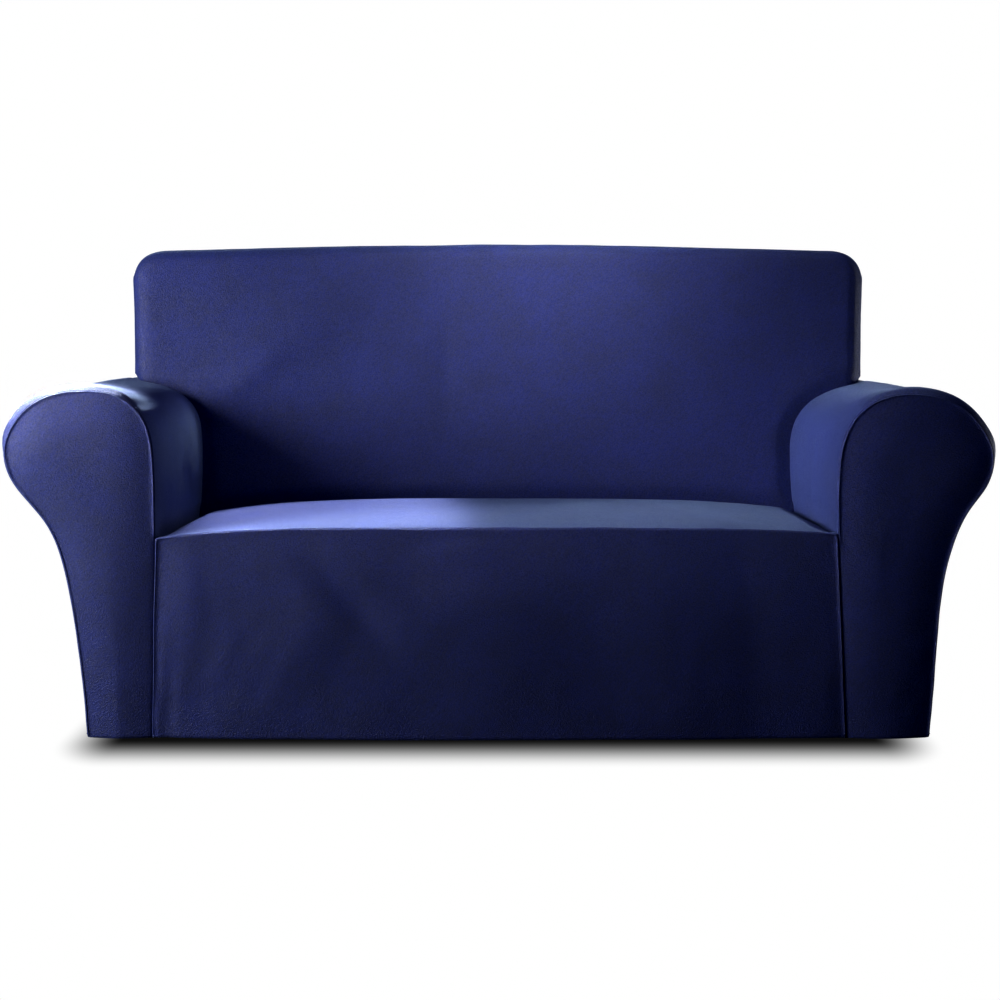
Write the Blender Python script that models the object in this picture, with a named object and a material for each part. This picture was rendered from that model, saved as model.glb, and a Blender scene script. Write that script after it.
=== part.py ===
"""Stretch-fit slipcover for a two-seat sofa with rolled arms, sewn from ten panels of velvet knit.

Metres, +Z up. The front faces -Y, the viewer's right is +X, and the hem's lowest point is at z = 0. The
whole cover is first laid out as one welded surface, face side out. It is then cut along its seams into
panels, and each panel gets the cloth's thickness towards the hollow inside, so that neighbours meet in a
mitre with a hair of room between them.
"""

import math
from collections import namedtuple

import bmesh
import bpy
import numpy as np
from mathutils import Vector
from mathutils.geometry import interpolate_bezier

# Driving dimensions, in metres
CLOTH = 0.002
SEAM_ROOM = 0.0002          # each panel stops this far short of its seam line
FRONT_Y = -0.44
REAR_Y = 0.44

# One arm seen from the front: how far out from the middle of the cover, and how high, on each side.
# The rows run from the inner end of the hem, up the inner face, over the roll and down to the hem again.
ArmPlace = namedtuple("ArmPlace", "place left_out left_up right_out right_up")
ARM_OUTLINE = [
    ArmPlace("hem_inner", 0.610, 0.003, 0.616, 0.003),
    ArmPlace("seat", 0.606, 0.355, 0.602, 0.363),
    ArmPlace("inner_face", 0.608, 0.470, 0.602, 0.470),
    ArmPlace("shoulder_low", 0.616, 0.545, 0.613, 0.533),
    ArmPlace("shoulder", 0.640, 0.588, 0.639, 0.577),
    ArmPlace("inner_top", 0.675, 0.610, 0.672, 0.599),
    ArmPlace("top", 0.725, 0.617, 0.722, 0.611),
    ArmPlace("outer_top", 0.800, 0.607, 0.802, 0.600),
    ArmPlace("outer_shoulder", 0.848, 0.571, 0.845, 0.565),
    ArmPlace("outermost", 0.875, 0.515, 0.878, 0.508),
    ArmPlace("under_roll", 0.861, 0.461, 0.867, 0.452),
    ArmPlace("neck_top", 0.823, 0.416, 0.826, 0.400),
    ArmPlace("neck", 0.789, 0.370, 0.803, 0.345),
    ArmPlace("stem_high", 0.766, 0.305, 0.786, 0.275),
    ArmPlace("stem", 0.748, 0.225, 0.777, 0.190),
    ArmPlace("stem_low", 0.734, 0.110, 0.769, 0.090),
    ArmPlace("hem_outer", 0.724, 0.004, 0.761, 0.004),
]
ARM_EDGE_FULLNESS = 0.008   # the sleeve stands this proud of the seam round the arm's front
ARM_EDGE_DEPTH = 0.014      # and fills out over about this depth
SLEEVE_SWELL = 0.003        # halfway back it swells this much further
SHOULDER_SLUMP = 0.014      # the roll's inner shoulder lies this much lower at the backrest

# Seat: heights of its edges, and how far its middle stands above them
SEAT_FRONT_MIDDLE = 0.373
SEAT_REAR_MIDDLE = 0.373
SEAT_REAR_CORNER = {-1: 0.345, 1: 0.354}
SEAT_FRONT_BEND = 5.0       # powers: a high one keeps the edge level until close to its ends
SEAT_REAR_BEND = 3.8
SEAT_CROWN = 0.012

# Backrest
BACK_HALF_WIDTH = 0.761     # where it meets the arms
BACK_FLARE = 0.014          # it is this much wider at its top corners, on each side
BACK_FOOT_HEIGHT = 0.345
BACK_FOOT_Y = 0.110
BACK_LEAN = 0.204           # metres back for each metre up
BACK_TOP = 0.9005
BACK_TOP_DROP = 0.014       # from the middle of the top to the start of its corners
BACK_TOP_BEND = 1.6
BACK_CORNER = 0.056         # radius of the two top corners, seen from the front
BACK_EDGE = 0.036           # radius of the rounded edge between the front and the sides and top
BACK_REAR_FALL = 0.010      # the top falls this much towards the rear seam
GUSSET_SWELL = 0.003        # the middle of each side of the backrest swells this much

SKIRT_FULLNESS = 0.006
HEM_LIFT = 0.004            # the hem's ends hang this much higher than its middle
PANEL_RING = 0.014          # the arm front fills out over this width
PANEL_RISE = 0.0035

# How finely each stretch is divided
SKIRT_ROWS = 6
LOW_ROWS = 3
SHOULDER_STEPS = 7
EDGE_STEPS = 3
OUTER_STEPS = 18
REAR_STEPS = 4
SIDE_ROWS = 6
CORNER_STEPS = 3
DEPTHS = [0.0, 0.012, 0.04, 0.10, 0.21, 0.34, 0.47, 0.60, 0.73, 0.86, 1.0]
ACROSS_EDGE = [0.0, 0.01, 0.03]
ACROSS_STEPS = 22

# Soft folds: panel, middle of the fold (across, along), its lie in degrees from the panel's across
# direction, half its length, half its width, and how far it stands out (or in, when negative)
Fold = namedtuple("Fold", "panel across along lie half_length half_width rise")
FOLDS = [
    Fold("front_skirt", -0.34, 0.19, 60.0, 0.160, 0.055, 0.0050),
    Fold("front_skirt", -0.53, 0.10, 88.0, 0.120, 0.030, -0.0040),
    Fold("front_skirt", -0.05, 0.24, 25.0, 0.220, 0.060, 0.0030),
    Fold("front_skirt", 0.30, 0.13, 115.0, 0.170, 0.070, 0.0040),
    Fold("front_skirt", 0.54, 0.15, 80.0, 0.130, 0.035, -0.0035),
    Fold("back_inner", -0.44, 0.72, 40.0, 0.180, 0.070, 0.0050),
    Fold("back_inner", -0.10, 0.60, 100.0, 0.220, 0.080, -0.0040),
    Fold("back_inner", 0.36, 0.68, 140.0, 0.200, 0.070, 0.0045),
    Fold("back_inner", -0.46, 0.47, 150.0, 0.120, 0.050, -0.0050),
    Fold("seat_top", -0.20, -0.12, 80.0, 0.150, 0.070, 0.0040),
    Fold("seat_top", 0.22, -0.20, 100.0, 0.180, 0.060, -0.0030),
]

PANELS = [
    "front_skirt",
    "seat_top",
    "back_inner",
    "back_outer",
    "back_side_left",
    "back_side_right",
    "arm_sleeve_left",
    "arm_sleeve_right",
    "arm_front_left",
    "arm_front_right",
]
SIDE_NAME = {-1: "left", 1: "right"}
VELVET_BLUE = (0.012, 0.022, 0.150, 1.0)
VELVET_ROUGHNESS = 0.78
CURVE_STEPS = 12            # short steps in each span of an outline


def panel_number(name):
    return PANELS.index(name)


# Curves

def smooth_curve(points):
    """Short steps along one smooth curve through the points, CURVE_STEPS to a span."""
    ends = [points[0] * 2 - points[1]] + points + [points[-1] * 2 - points[-2]]
    curve = []
    for before, start, stop, after in zip(ends, ends[1:], ends[2:], ends[3:]):
        out_handle = start + (stop - before) / 6
        in_handle = stop - (after - start) / 6
        curve += interpolate_bezier(start, out_handle, in_handle, stop, CURVE_STEPS + 1)[:-1]
    return curve + [points[-1].copy()]


def lengths_along(curve):
    marks = [0.0]
    for start, stop in zip(curve, curve[1:]):
        marks.append(marks[-1] + (stop - start).length)
    return marks


def point_at(curve, marks, length):
    for index in range(1, len(marks)):
        if length <= marks[index]:
            share = (length - marks[index - 1]) / (marks[index] - marks[index - 1])
            return curve[index - 1].lerp(curve[index], share)
    return curve[-1].copy()


def even_points(curve, marks, start, stop, count):
    """count + 1 evenly spaced points between two lengths along a curve."""
    return [point_at(curve, marks, start + (stop - start) * i / count) for i in range(count + 1)]


def length_at_out(curve, marks, out, after):
    """Where, past a length, the curve first reaches a distance out from the middle."""
    for index in range(1, len(curve)):
        if marks[index] > after and curve[index].x >= out:
            gap = curve[index].x - curve[index - 1].x
            share = (out - curve[index - 1].x) / gap
            return marks[index - 1] + share * (marks[index] - marks[index - 1])
    raise ValueError("the outline never reaches that far out")


# Heights and depths that several panels share

def back_y(height):
    """How far back the backrest's front face lies at a height."""
    return BACK_FOOT_Y + BACK_LEAN * (height - BACK_FOOT_HEIGHT)


def back_top(across):
    share = min(1.0, abs(across) / (BACK_HALF_WIDTH + BACK_FLARE - BACK_CORNER))
    return BACK_TOP - BACK_TOP_DROP * share ** BACK_TOP_BEND


def between(middle, left, right, share, bend):
    """Height of an edge that sinks from its middle to its two ends. The share runs from -1 to 1."""
    end = left if share < 0 else right
    return middle - (middle - end) * abs(share) ** bend


def across_shares():
    """Stations from one arm to the other, from 0 to 1, closer together beside the seams."""
    low = ACROSS_EDGE[-1] + 0.035
    middle = [low + (1 - 2 * low) * i / ACROSS_STEPS for i in range(ACROSS_STEPS + 1)]
    return ACROSS_EDGE + middle + [1 - share for share in reversed(ACROSS_EDGE)]


# The arms

def arm_stations(side):
    """The named stretches of one arm's outline at the front, as (out, up) points."""
    if side < 0:
        rows = [Vector((row.left_out, row.left_up)) for row in ARM_OUTLINE]
    else:
        rows = [Vector((row.right_out, row.right_up)) for row in ARM_OUTLINE]
    places = {row.place: index * CURVE_STEPS for index, row in enumerate(ARM_OUTLINE)}
    curve = smooth_curve(rows)
    marks = lengths_along(curve)
    seat = marks[places["seat"]]
    level = marks[places["inner_face"]]
    top = marks[places["top"]]
    round_start = length_at_out(curve, marks, BACK_HALF_WIDTH - BACK_EDGE, marks[places["inner_top"]])
    edge = [round_start]
    for step in range(1, EDGE_STEPS + 1):
        reach = BACK_EDGE * math.sin(math.pi / 2 * step / EDGE_STEPS)
        edge.append(length_at_out(curve, marks, BACK_HALF_WIDTH - BACK_EDGE + reach, top))
    skirt = even_points(curve, marks, 0.0, seat, SKIRT_ROWS)
    low = even_points(curve, marks, seat, level, LOW_ROWS)
    shoulder = even_points(curve, marks, level, round_start, SHOULDER_STEPS)
    rounding = [point_at(curve, marks, length) for length in edge]
    outer = even_points(curve, marks, edge[-1], marks[-1], OUTER_STEPS)
    return skirt, low + shoulder[1:] + rounding[1:], outer


def outline_normals(points):
    """The outward direction at each point of an outline that runs over the arm from inside to outside."""
    normals = []
    for index in range(len(points)):
        before = points[max(index - 1, 0)]
        after = points[min(index + 1, len(points) - 1)]
        along = (after - before).normalized()
        normals.append(Vector((-along.y, along.x)))
    return normals


def fullness_share(index, point):
    """How much of the sleeve's fullness a station takes: none at the seat, most on the outer side."""
    rise = min(1.0, index / LOW_ROWS)
    outer = min(1.0, max(0.0, (point.x - 0.70) / 0.13))
    return rise * (0.30 + 0.70 * outer)


def fullness(y):
    """How far the sleeve stands out from the outline of the arm's front, at a depth."""
    edge = ARM_EDGE_FULLNESS * (1 - math.exp(-(y - FRONT_Y) / ARM_EDGE_DEPTH))
    return edge + SLEEVE_SWELL * math.sin(math.pi * (y - FRONT_Y) / (REAR_Y - FRONT_Y)) ** 2


def junction_y(out, height):
    """How far back the sleeve runs before it meets the backrest, whose front edge is rounded."""
    past = min(BACK_EDGE, max(0.0, out - (BACK_HALF_WIDTH - BACK_EDGE)))
    return back_y(height) + BACK_EDGE - math.sqrt(BACK_EDGE ** 2 - past ** 2)


def sleeve_rows(side):
    """The sleeve's points: a row for each station of the outline, each from the front seam back.

    Rows up to the backrest's side end at the backrest. The rows past it, and the row beside it, run on
    to the rear seam.
    """
    skirt, inner, outer = arm_stations(side)
    stations = inner + outer[1:]
    normals = outline_normals(stations)
    last_inner = len(inner) - 1
    side_y = junction_y(BACK_HALF_WIDTH, inner[-1].y)
    rows = []
    for index, station in enumerate(stations):
        rear = station.copy()
        end_y = side_y
        if index <= last_inner:
            low_share = max(0.0, 1 - index / LOW_ROWS)
            rear.y += (SEAT_REAR_CORNER[side] - stations[0].y) * low_share
            swell = max(0.0, (index - LOW_ROWS) / (last_inner - LOW_ROWS))
            rear.y -= SHOULDER_SLUMP * math.sin(math.pi * swell) ** 1.5
            end_y = junction_y(rear.x, rear.y)
        outward = normals[index] * fullness_share(index, station)
        row = []
        for depth in DEPTHS:
            place = station.lerp(rear, depth)
            y = FRONT_Y + (end_y - FRONT_Y) * depth
            place += outward * fullness(y)
            row.append(Vector((side * place.x, y, place.y)))
        if index >= last_inner:
            for step in range(1, REAR_STEPS + 1):
                y = end_y + (REAR_Y - end_y) * step / REAR_STEPS
                place = station + outward * fullness(y)
                row.append(Vector((side * place.x, y, place.y)))
        rows.append(row)
    skirt_seam = [Vector((side * point.x, FRONT_Y, point.y)) for point in skirt]
    return skirt_seam, rows, last_inner


# Laying out the surface

def add_grid(surface, rows, panel):
    """Faces between neighbouring rows of points."""
    grid = [[surface.verts.new(point) for point in row] for row in rows]
    for lower, upper in zip(grid, grid[1:]):
        for index in range(len(lower) - 1):
            face = surface.faces.new((lower[index], lower[index + 1], upper[index + 1], upper[index]))
            face.material_index = panel_number(panel)


def add_outline(surface, points, panel):
    """One flat many-sided face."""
    face = surface.faces.new([surface.verts.new(point) for point in points])
    face.material_index = panel_number(panel)
    return face


def filled(bottom, top, left, right, shares_up=None):
    """Rows of points that span four edges. The edges' ends agree, and opposite edges have as many points."""
    across = len(bottom) - 1
    up = len(left) - 1
    rows = []
    for j in range(up + 1):
        v = shares_up[j] if shares_up else j / up
        row = []
        for i in range(across + 1):
            u = share_along(bottom, i)
            ruled = bottom[i].lerp(top[i], v) + left[j].lerp(right[j], u)
            low = bottom[0].lerp(bottom[-1], u)
            high = top[0].lerp(top[-1], u)
            row.append(ruled - low.lerp(high, v))
        rows.append(row)
    return rows


def share_along(points, index):
    """How far along a line of points one of them lies, from 0 to 1."""
    whole = 0.0
    part = 0.0
    for step in range(len(points) - 1):
        length = (points[step + 1] - points[step]).length
        whole += length
        if step < index:
            part += length
    return part / whole


def seat_edge(left, right, middle, bend, y_of):
    """A line of points from the left arm to the right one, highest in the middle."""
    points = []
    for share in across_shares():
        point = left.lerp(right, share)
        if 0.0 < share < 1.0:
            point.z = between(middle, left.z, right.z, 2 * share - 1, bend)
            point.y = y_of(point.z)
        points.append(point)
    return points


def lay_skirt_and_seat(surface, arms):
    left_skirt, left_rows, _ = arms[-1]
    right_skirt, right_rows, _ = arms[1]
    crease = seat_edge(left_rows[0][0], right_rows[0][0], SEAT_FRONT_MIDDLE, SEAT_FRONT_BEND,
                       lambda z: FRONT_Y)
    hem = [left_skirt[0].lerp(right_skirt[0], share) for share in across_shares()]
    for point, share in zip(hem, across_shares()):
        point.z = HEM_LIFT * abs(2 * share - 1) ** 2 if 0.0 < share < 1.0 else point.z
    skirt = filled(hem, crease, left_skirt, right_skirt)
    for j, row in enumerate(skirt):
        below = 1 - (j / SKIRT_ROWS) ** 3
        for i, share in enumerate(across_shares()):
            edge = min(share, 1 - share)
            row[i].y -= SKIRT_FULLNESS * below * (1 - math.exp(-edge / 0.02))
    add_grid(surface, skirt, "front_skirt")

    rear = seat_edge(left_rows[0][len(DEPTHS) - 1], right_rows[0][len(DEPTHS) - 1], SEAT_REAR_MIDDLE,
                     SEAT_REAR_BEND, back_y)
    left = left_rows[0][:len(DEPTHS)]
    right = right_rows[0][:len(DEPTHS)]
    seat = filled(crease, rear, left, right, DEPTHS)
    for depth, row in zip(DEPTHS, seat):
        for point, share in zip(row, across_shares()):
            point.z += SEAT_CROWN * math.sin(math.pi * depth) ** 0.7 * (1 - abs(2 * share - 1) ** 4)
    add_grid(surface, seat, "seat_top")
    return rear


def front_line(side, junction):
    """The upright line on the backrest's front above an arm's inner face."""
    foot = junction[LOW_ROWS]
    head_x = foot.x
    head_z = back_top(head_x) - BACK_EDGE
    count = SIDE_ROWS + CORNER_STEPS
    line = []
    for step in range(count + 1):
        z = foot.z + (head_z - foot.z) * step / count
        line.append(Vector((head_x, back_y(z) if step else foot.y, z)))
    return line


def rounded_edge(inner, outward):
    """Points over the rounded edge, from a point on the front face out to the side or top."""
    points = []
    for step in range(EDGE_STEPS + 1):
        angle = math.pi / 2 * step / EDGE_STEPS
        turn = outward * BACK_EDGE * math.sin(angle)
        back = BACK_EDGE * (1 - math.cos(angle))
        points.append(inner + Vector((turn.x, back, turn.y)))
    return points


def lay_back_side(surface, side, arm):
    """One side of the backrest: front beside the arm, rounded edge, corner and gusset."""
    rows, last_inner = arm[1], arm[2]
    name = SIDE_NAME[side]
    front = len(DEPTHS) - 1
    junction = [rows[index][front] for index in range(last_inner + 1)]
    on_front = junction[LOW_ROWS:last_inner - EDGE_STEPS + 1]
    under_edge = junction[last_inner - EDGE_STEPS:]
    foot = rows[last_inner][front:]

    corner_x = BACK_HALF_WIDTH + BACK_FLARE - BACK_CORNER
    corner_z = back_top(corner_x) - BACK_CORNER
    strip = [under_edge]
    gusset = [foot]
    for step in range(1, SIDE_ROWS + 1):
        share = step / SIDE_ROWS
        z = under_edge[0].z + (corner_z - under_edge[0].z) * share
        inner = Vector((side * (BACK_HALF_WIDTH + BACK_FLARE * share - BACK_EDGE), back_y(z), z))
        strip.append(rounded_edge(inner, Vector((side, 0.0))))
        gusset.append(towards_rear(strip[-1][-1], 0.0, side * GUSSET_SWELL * math.sin(math.pi * share)))
    corner = [strip[-1]]
    for step in range(1, CORNER_STEPS + 1):
        angle = math.pi / 2 * step / CORNER_STEPS
        outward = Vector((side * math.cos(angle), math.sin(angle)))
        reach = BACK_CORNER - BACK_EDGE
        z = corner_z + reach * math.sin(angle)
        inner = Vector((side * (corner_x + reach * math.cos(angle)), back_y(z), z))
        corner.append(rounded_edge(inner, outward))
    over_corner = [towards_rear(row[-1], math.sin(math.pi / 2 * step / CORNER_STEPS))
                   for step, row in enumerate(corner)]
    add_grid(surface, strip, "back_inner")
    add_grid(surface, corner, "back_inner")
    add_grid(surface, over_corner, "back_inner")
    add_grid(surface, gusset, "back_side_" + name)

    line = front_line(side, junction)
    outer_edge = [row[0] for row in strip] + [row[0] for row in corner[1:]]
    head = top_line(line[-1], outer_edge[-1], SHOULDER_STEPS)
    add_grid(surface, filled(on_front, head, line, outer_edge), "back_inner")
    rear_edge = [row[-1] for row in gusset] + [row[-1] for row in over_corner[1:]]
    return line, head, rear_edge


def top_line(start, stop, count, shares=None):
    """Points along the top of the front face, just under its rounded edge."""
    points = []
    for step in range(count + 1):
        share = shares[step] if shares else step / count
        point = start.lerp(stop, share)
        if 0 < step < count:
            point.z = back_top(point.x) - BACK_EDGE
            point.y = back_y(point.z)
        points.append(point)
    return points


def towards_rear(point, fall_share, swell=0.0):
    """Points from the rounded edge back to the rear seam. They fall a little, or swell sideways."""
    points = []
    for step in range(REAR_STEPS + 1):
        share = step / REAR_STEPS
        fall = BACK_REAR_FALL * fall_share * share ** 2
        out = point.x + swell * math.sin(math.pi * share) ** 2
        points.append(Vector((out, point.y + (REAR_Y - point.y) * share, point.z - fall)))
    return points


def lay_back(surface, arms, seat_rear):
    left_line, left_head, left_rear = lay_back_side(surface, -1, arms[-1])
    right_line, right_head, right_rear = lay_back_side(surface, 1, arms[1])
    front = len(DEPTHS) - 1
    left_foot = [arms[-1][1][index][front] for index in range(LOW_ROWS + 1)]
    right_foot = [arms[1][1][index][front] for index in range(LOW_ROWS + 1)]
    waist = []
    for share in across_shares():
        point = left_foot[-1].lerp(right_foot[-1], share)
        waist.append(point)
    add_grid(surface, filled(seat_rear, waist, left_foot, right_foot), "back_inner")
    head = top_line(left_line[-1], right_line[-1], len(waist) - 1, across_shares())
    add_grid(surface, filled(waist, head, left_line, right_line), "back_inner")

    whole_head = list(reversed(left_head)) + head[1:-1] + right_head
    up = Vector((0.0, 1.0))
    over_top = [rounded_edge(point, up) for point in whole_head]
    add_grid(surface, over_top, "back_inner")
    top = [towards_rear(row[-1], 1.0) for row in over_top]
    add_grid(surface, top, "back_inner")
    return left_rear, [row[-1] for row in top], right_rear


def lay_arms(surface, arms):
    for side, (skirt_seam, rows, last_inner) in arms.items():
        name = SIDE_NAME[side]
        add_grid(surface, [row[:len(DEPTHS)] for row in rows[:last_inner + 1]], "arm_sleeve_" + name)
        add_grid(surface, rows[last_inner:], "arm_sleeve_" + name)
        outline = skirt_seam + [row[0] for row in rows[1:]]
        panel = add_outline(surface, outline, "arm_front_" + name)
        panel.normal_update()
        towards_front = PANEL_RISE if panel.normal.y < 0 else -PANEL_RISE
        bmesh.ops.inset_individual(
            surface, faces=[panel], thickness=PANEL_RING, depth=towards_front, use_even_offset=True
        )


def lay_rear(surface, arms, edges):
    """The outside back, one flat panel down to the hem, with the ends of both arms."""
    left_rear, top_rear, right_rear = edges
    left_arm = [row[-1] for row in arms[-1][1][arms[-1][2]:]]
    right_arm = [row[-1] for row in arms[1][1][arms[1][2]:]]
    outline = list(reversed(left_arm)) + left_rear[1:] + top_rear[1:-1]
    outline += list(reversed(right_rear)) + right_arm[1:]
    add_outline(surface, outline, "back_outer")


def fold_height(fold, across, along):
    turn = math.radians(fold.lie)
    dx = across - fold.across
    dz = along - fold.along
    lengthwise = (dx * math.cos(turn) + dz * math.sin(turn)) / fold.half_length
    sideways = (dz * math.cos(turn) - dx * math.sin(turn)) / fold.half_width
    return fold.rise * math.exp(-lengthwise ** 2 - sideways ** 2)


def raise_folds(surface):
    """Push the soft folds out of each panel, leaving its seams where they are."""
    surface.normal_update()
    moves = []
    for vert in surface.verts:
        panels = {face.material_index for face in vert.link_faces}
        if len(panels) != 1 or vert.is_boundary:
            continue
        name = PANELS[panels.pop()]
        along = vert.co.y if name == "seat_top" else vert.co.z
        rise = sum(fold_height(fold, vert.co.x, along) for fold in FOLDS if fold.panel == name)
        moves.append((vert, vert.normal * rise))
    for vert, move in moves:
        vert.co += move


def centre(surface):
    """Stand the cover with the middle of its box over the origin and its hem's low point at z = 0."""
    for axis in (0, 1):
        values = [vert.co[axis] for vert in surface.verts]
        shift = (min(values) + max(values)) / 2
        for vert in surface.verts:
            vert.co[axis] -= shift
    lowest = min(vert.co.z for vert in surface.verts)
    for vert in surface.verts:
        vert.co.z -= lowest


def lay_out():
    """The whole cover as one welded surface whose faces know their panel."""
    surface = bmesh.new()
    arms = {side: sleeve_rows(side) for side in (-1, 1)}
    seat_rear = lay_skirt_and_seat(surface, arms)
    edges = lay_back(surface, arms, seat_rear)
    lay_arms(surface, arms)
    lay_rear(surface, arms, edges)
    bmesh.ops.remove_doubles(surface, verts=surface.verts, dist=0.00001)
    bmesh.ops.recalc_face_normals(surface, faces=surface.faces)
    raise_folds(surface)
    centre(surface)
    surface.normal_update()
    return surface


# Cutting the surface into panels of cloth

def thickness_step(vert):
    """From a point on the face side to the point behind it, as far behind each face that meets there."""
    normals = np.array([face.normal[:] for face in vert.link_faces])
    step, _, _, _ = np.linalg.lstsq(normals, np.full(len(normals), -CLOTH), rcond=0.05)
    step = Vector(step)
    if step.length > 2 * CLOTH:
        step.length = 2 * CLOTH
    return step


def seam_step(vert, panel):
    """From a point on a seam a little way into the panel, square to the seam."""
    into = []
    for edge in vert.link_edges:
        faces = [face for face in edge.link_faces if face.material_index == panel]
        if len(faces) != 1 or len(edge.link_faces) < 2:
            continue
        along = (edge.verts[1].co - edge.verts[0].co).normalized()
        direction = faces[0].normal.cross(along)
        inside = nearest_corner(faces[0], edge) - edge.verts[0].co
        into.append(direction if direction.dot(inside) > 0 else -direction)
    if not into:
        return Vector((0.0, 0.0, 0.0))
    total = sum(into, Vector((0.0, 0.0, 0.0)))
    if len(into) == 1:
        return total * SEAM_ROOM
    return total * SEAM_ROOM / max(0.5, 1 + into[0].dot(into[1]))


def nearest_corner(face, edge):
    """The corner of a face next to one of its edges, which tells the face's side of that edge."""
    loop = next(loop for loop in face.loops if loop.edge == edge)
    return loop.link_loop_prev.vert.co


def cut_panel(surface, number):
    """One panel as a closed mesh: its face side, its back and the cut edge between them."""
    cloth = bmesh.new()
    fronts = {}
    backs = {}
    for face in surface.faces:
        if face.material_index != number:
            continue
        for vert in face.verts:
            if vert not in fronts:
                place = vert.co + seam_step(vert, number)
                fronts[vert] = cloth.verts.new(place)
                behind = place + thickness_step(vert)
                if vert.is_boundary:
                    behind.z = place.z
                backs[vert] = cloth.verts.new(behind)
        cloth.faces.new([fronts[vert] for vert in face.verts])
        cloth.faces.new([backs[vert] for vert in reversed(face.verts)])
        for edge in face.edges:
            if sum(other.material_index == number for other in edge.link_faces) == 1:
                start, stop = edge.verts
                cloth.faces.new((fronts[start], fronts[stop], backs[stop], backs[start]))
    bmesh.ops.triangulate(cloth, faces=cloth.faces, quad_method="FIXED")
    bmesh.ops.recalc_face_normals(cloth, faces=cloth.faces)
    return cloth


def velvet(name):
    material = bpy.data.materials.new(name + "_velvet")
    material.use_nodes = True
    shader = material.node_tree.nodes["Principled BSDF"]
    shader.inputs["Base Color"].default_value = VELVET_BLUE
    shader.inputs["Roughness"].default_value = VELVET_ROUGHNESS
    shader.inputs["Metallic"].default_value = 0.0
    return material


def main():
    for item in list(bpy.data.objects):
        bpy.data.objects.remove(item)
    surface = lay_out()
    for number, name in enumerate(PANELS):
        cloth = cut_panel(surface, number)
        mesh = bpy.data.meshes.new(name)
        cloth.to_mesh(mesh)
        cloth.free()
        mesh.shade_smooth()
        mesh.materials.append(velvet(name))
        bpy.context.scene.collection.objects.link(bpy.data.objects.new(name, mesh))
    surface.free()


main()
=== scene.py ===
"""The looks of a stretch-fit velvet slipcover for a two-seat sofa with rolled arms.

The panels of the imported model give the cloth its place. Their face sides are joined into one surface, which
is made fine and smooth, drawn in where seams tuck between seat, arms and back, lifted into soft lips along
its sewn edges, and creased where the worn cover creases. It is then cut along the seams again, and each
panel gets the cloth's thickness and its velvet.
"""

import math
from collections import namedtuple

import bmesh
import bpy
import numpy as np
from bpy.props import FloatProperty, FloatVectorProperty, IntProperty, PointerProperty
from bpy.types import Operator, Panel, PropertyGroup
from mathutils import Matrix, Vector, geometry, kdtree, noise


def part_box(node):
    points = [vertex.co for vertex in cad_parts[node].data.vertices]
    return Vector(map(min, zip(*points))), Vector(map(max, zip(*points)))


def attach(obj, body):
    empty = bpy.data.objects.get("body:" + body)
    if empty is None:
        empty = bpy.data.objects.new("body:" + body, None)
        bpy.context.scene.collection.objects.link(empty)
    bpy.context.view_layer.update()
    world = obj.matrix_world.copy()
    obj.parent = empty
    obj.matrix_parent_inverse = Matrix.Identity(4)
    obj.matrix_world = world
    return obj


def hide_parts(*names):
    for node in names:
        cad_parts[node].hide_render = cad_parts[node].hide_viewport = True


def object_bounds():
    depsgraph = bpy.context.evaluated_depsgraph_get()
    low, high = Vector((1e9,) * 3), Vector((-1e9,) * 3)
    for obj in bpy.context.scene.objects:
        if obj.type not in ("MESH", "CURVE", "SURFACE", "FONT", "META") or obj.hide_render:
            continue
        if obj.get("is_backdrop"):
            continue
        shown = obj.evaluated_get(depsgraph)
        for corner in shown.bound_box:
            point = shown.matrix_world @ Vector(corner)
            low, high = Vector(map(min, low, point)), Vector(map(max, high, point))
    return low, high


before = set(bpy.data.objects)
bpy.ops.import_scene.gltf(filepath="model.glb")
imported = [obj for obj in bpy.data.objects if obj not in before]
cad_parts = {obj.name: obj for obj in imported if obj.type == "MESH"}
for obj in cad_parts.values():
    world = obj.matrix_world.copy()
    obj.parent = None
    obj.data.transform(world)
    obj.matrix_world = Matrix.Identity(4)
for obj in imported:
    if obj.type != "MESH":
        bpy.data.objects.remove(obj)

bl_info = {
    "name": "Velvet slipcover",
    "version": (1, 0, 0),
    "blender": (4, 5, 0),
    "location": "3D View > Sidebar > Slipcover",
    "description": "Sews the panels of a stretch-fit velvet slipcover for a two-seat sofa",
    "category": "Object",
}

BODY = "root"
SURFACE = "cover_surface"
VELVET = "velvet_knit_cloth"

# The panels, in the order that numbers them on the joined surface. Each has a point in the hollow behind it,
# and the size it was cut to: a stretch cover is cut smaller than it is worn.
Cut = namedtuple("Cut", "hollow width length area")
PANELS = {
    "front_skirt": Cut((0.0, 0.0, 0.2), 1.17, 0.35, None),
    "seat_top": Cut((0.0, 0.0, 0.2), 1.17, 0.53, None),
    "back_inner": Cut((0.0, 0.35, 0.6), 1.40, 0.73, None),
    "back_side_left": Cut((0.0, 0.35, 0.7), 0.205, 0.225, None),
    "back_side_right": Cut((0.0, 0.35, 0.7), 0.205, 0.225, None),
    "arm_sleeve_left": Cut((-0.72, 0.0, 0.5), 0.80, 0.98, None),
    "arm_sleeve_right": Cut((0.72, 0.0, 0.5), 0.80, 0.98, None),
    "back_outer": Cut((0.0, 0.2, 0.5), 1.66, 0.85, 1.25),
    "arm_front_left": Cut((-0.7, 0.0, 0.3), 0.25, 0.59, 0.100),
    "arm_front_right": Cut((0.7, 0.0, 0.3), 0.25, 0.59, 0.100),
}
NUMBERS = {node: number for number, node in enumerate(PANELS)}
SPANNED = ("back_outer", "arm_front_left", "arm_front_right")   # spanned anew from their neighbours' edges

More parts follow.
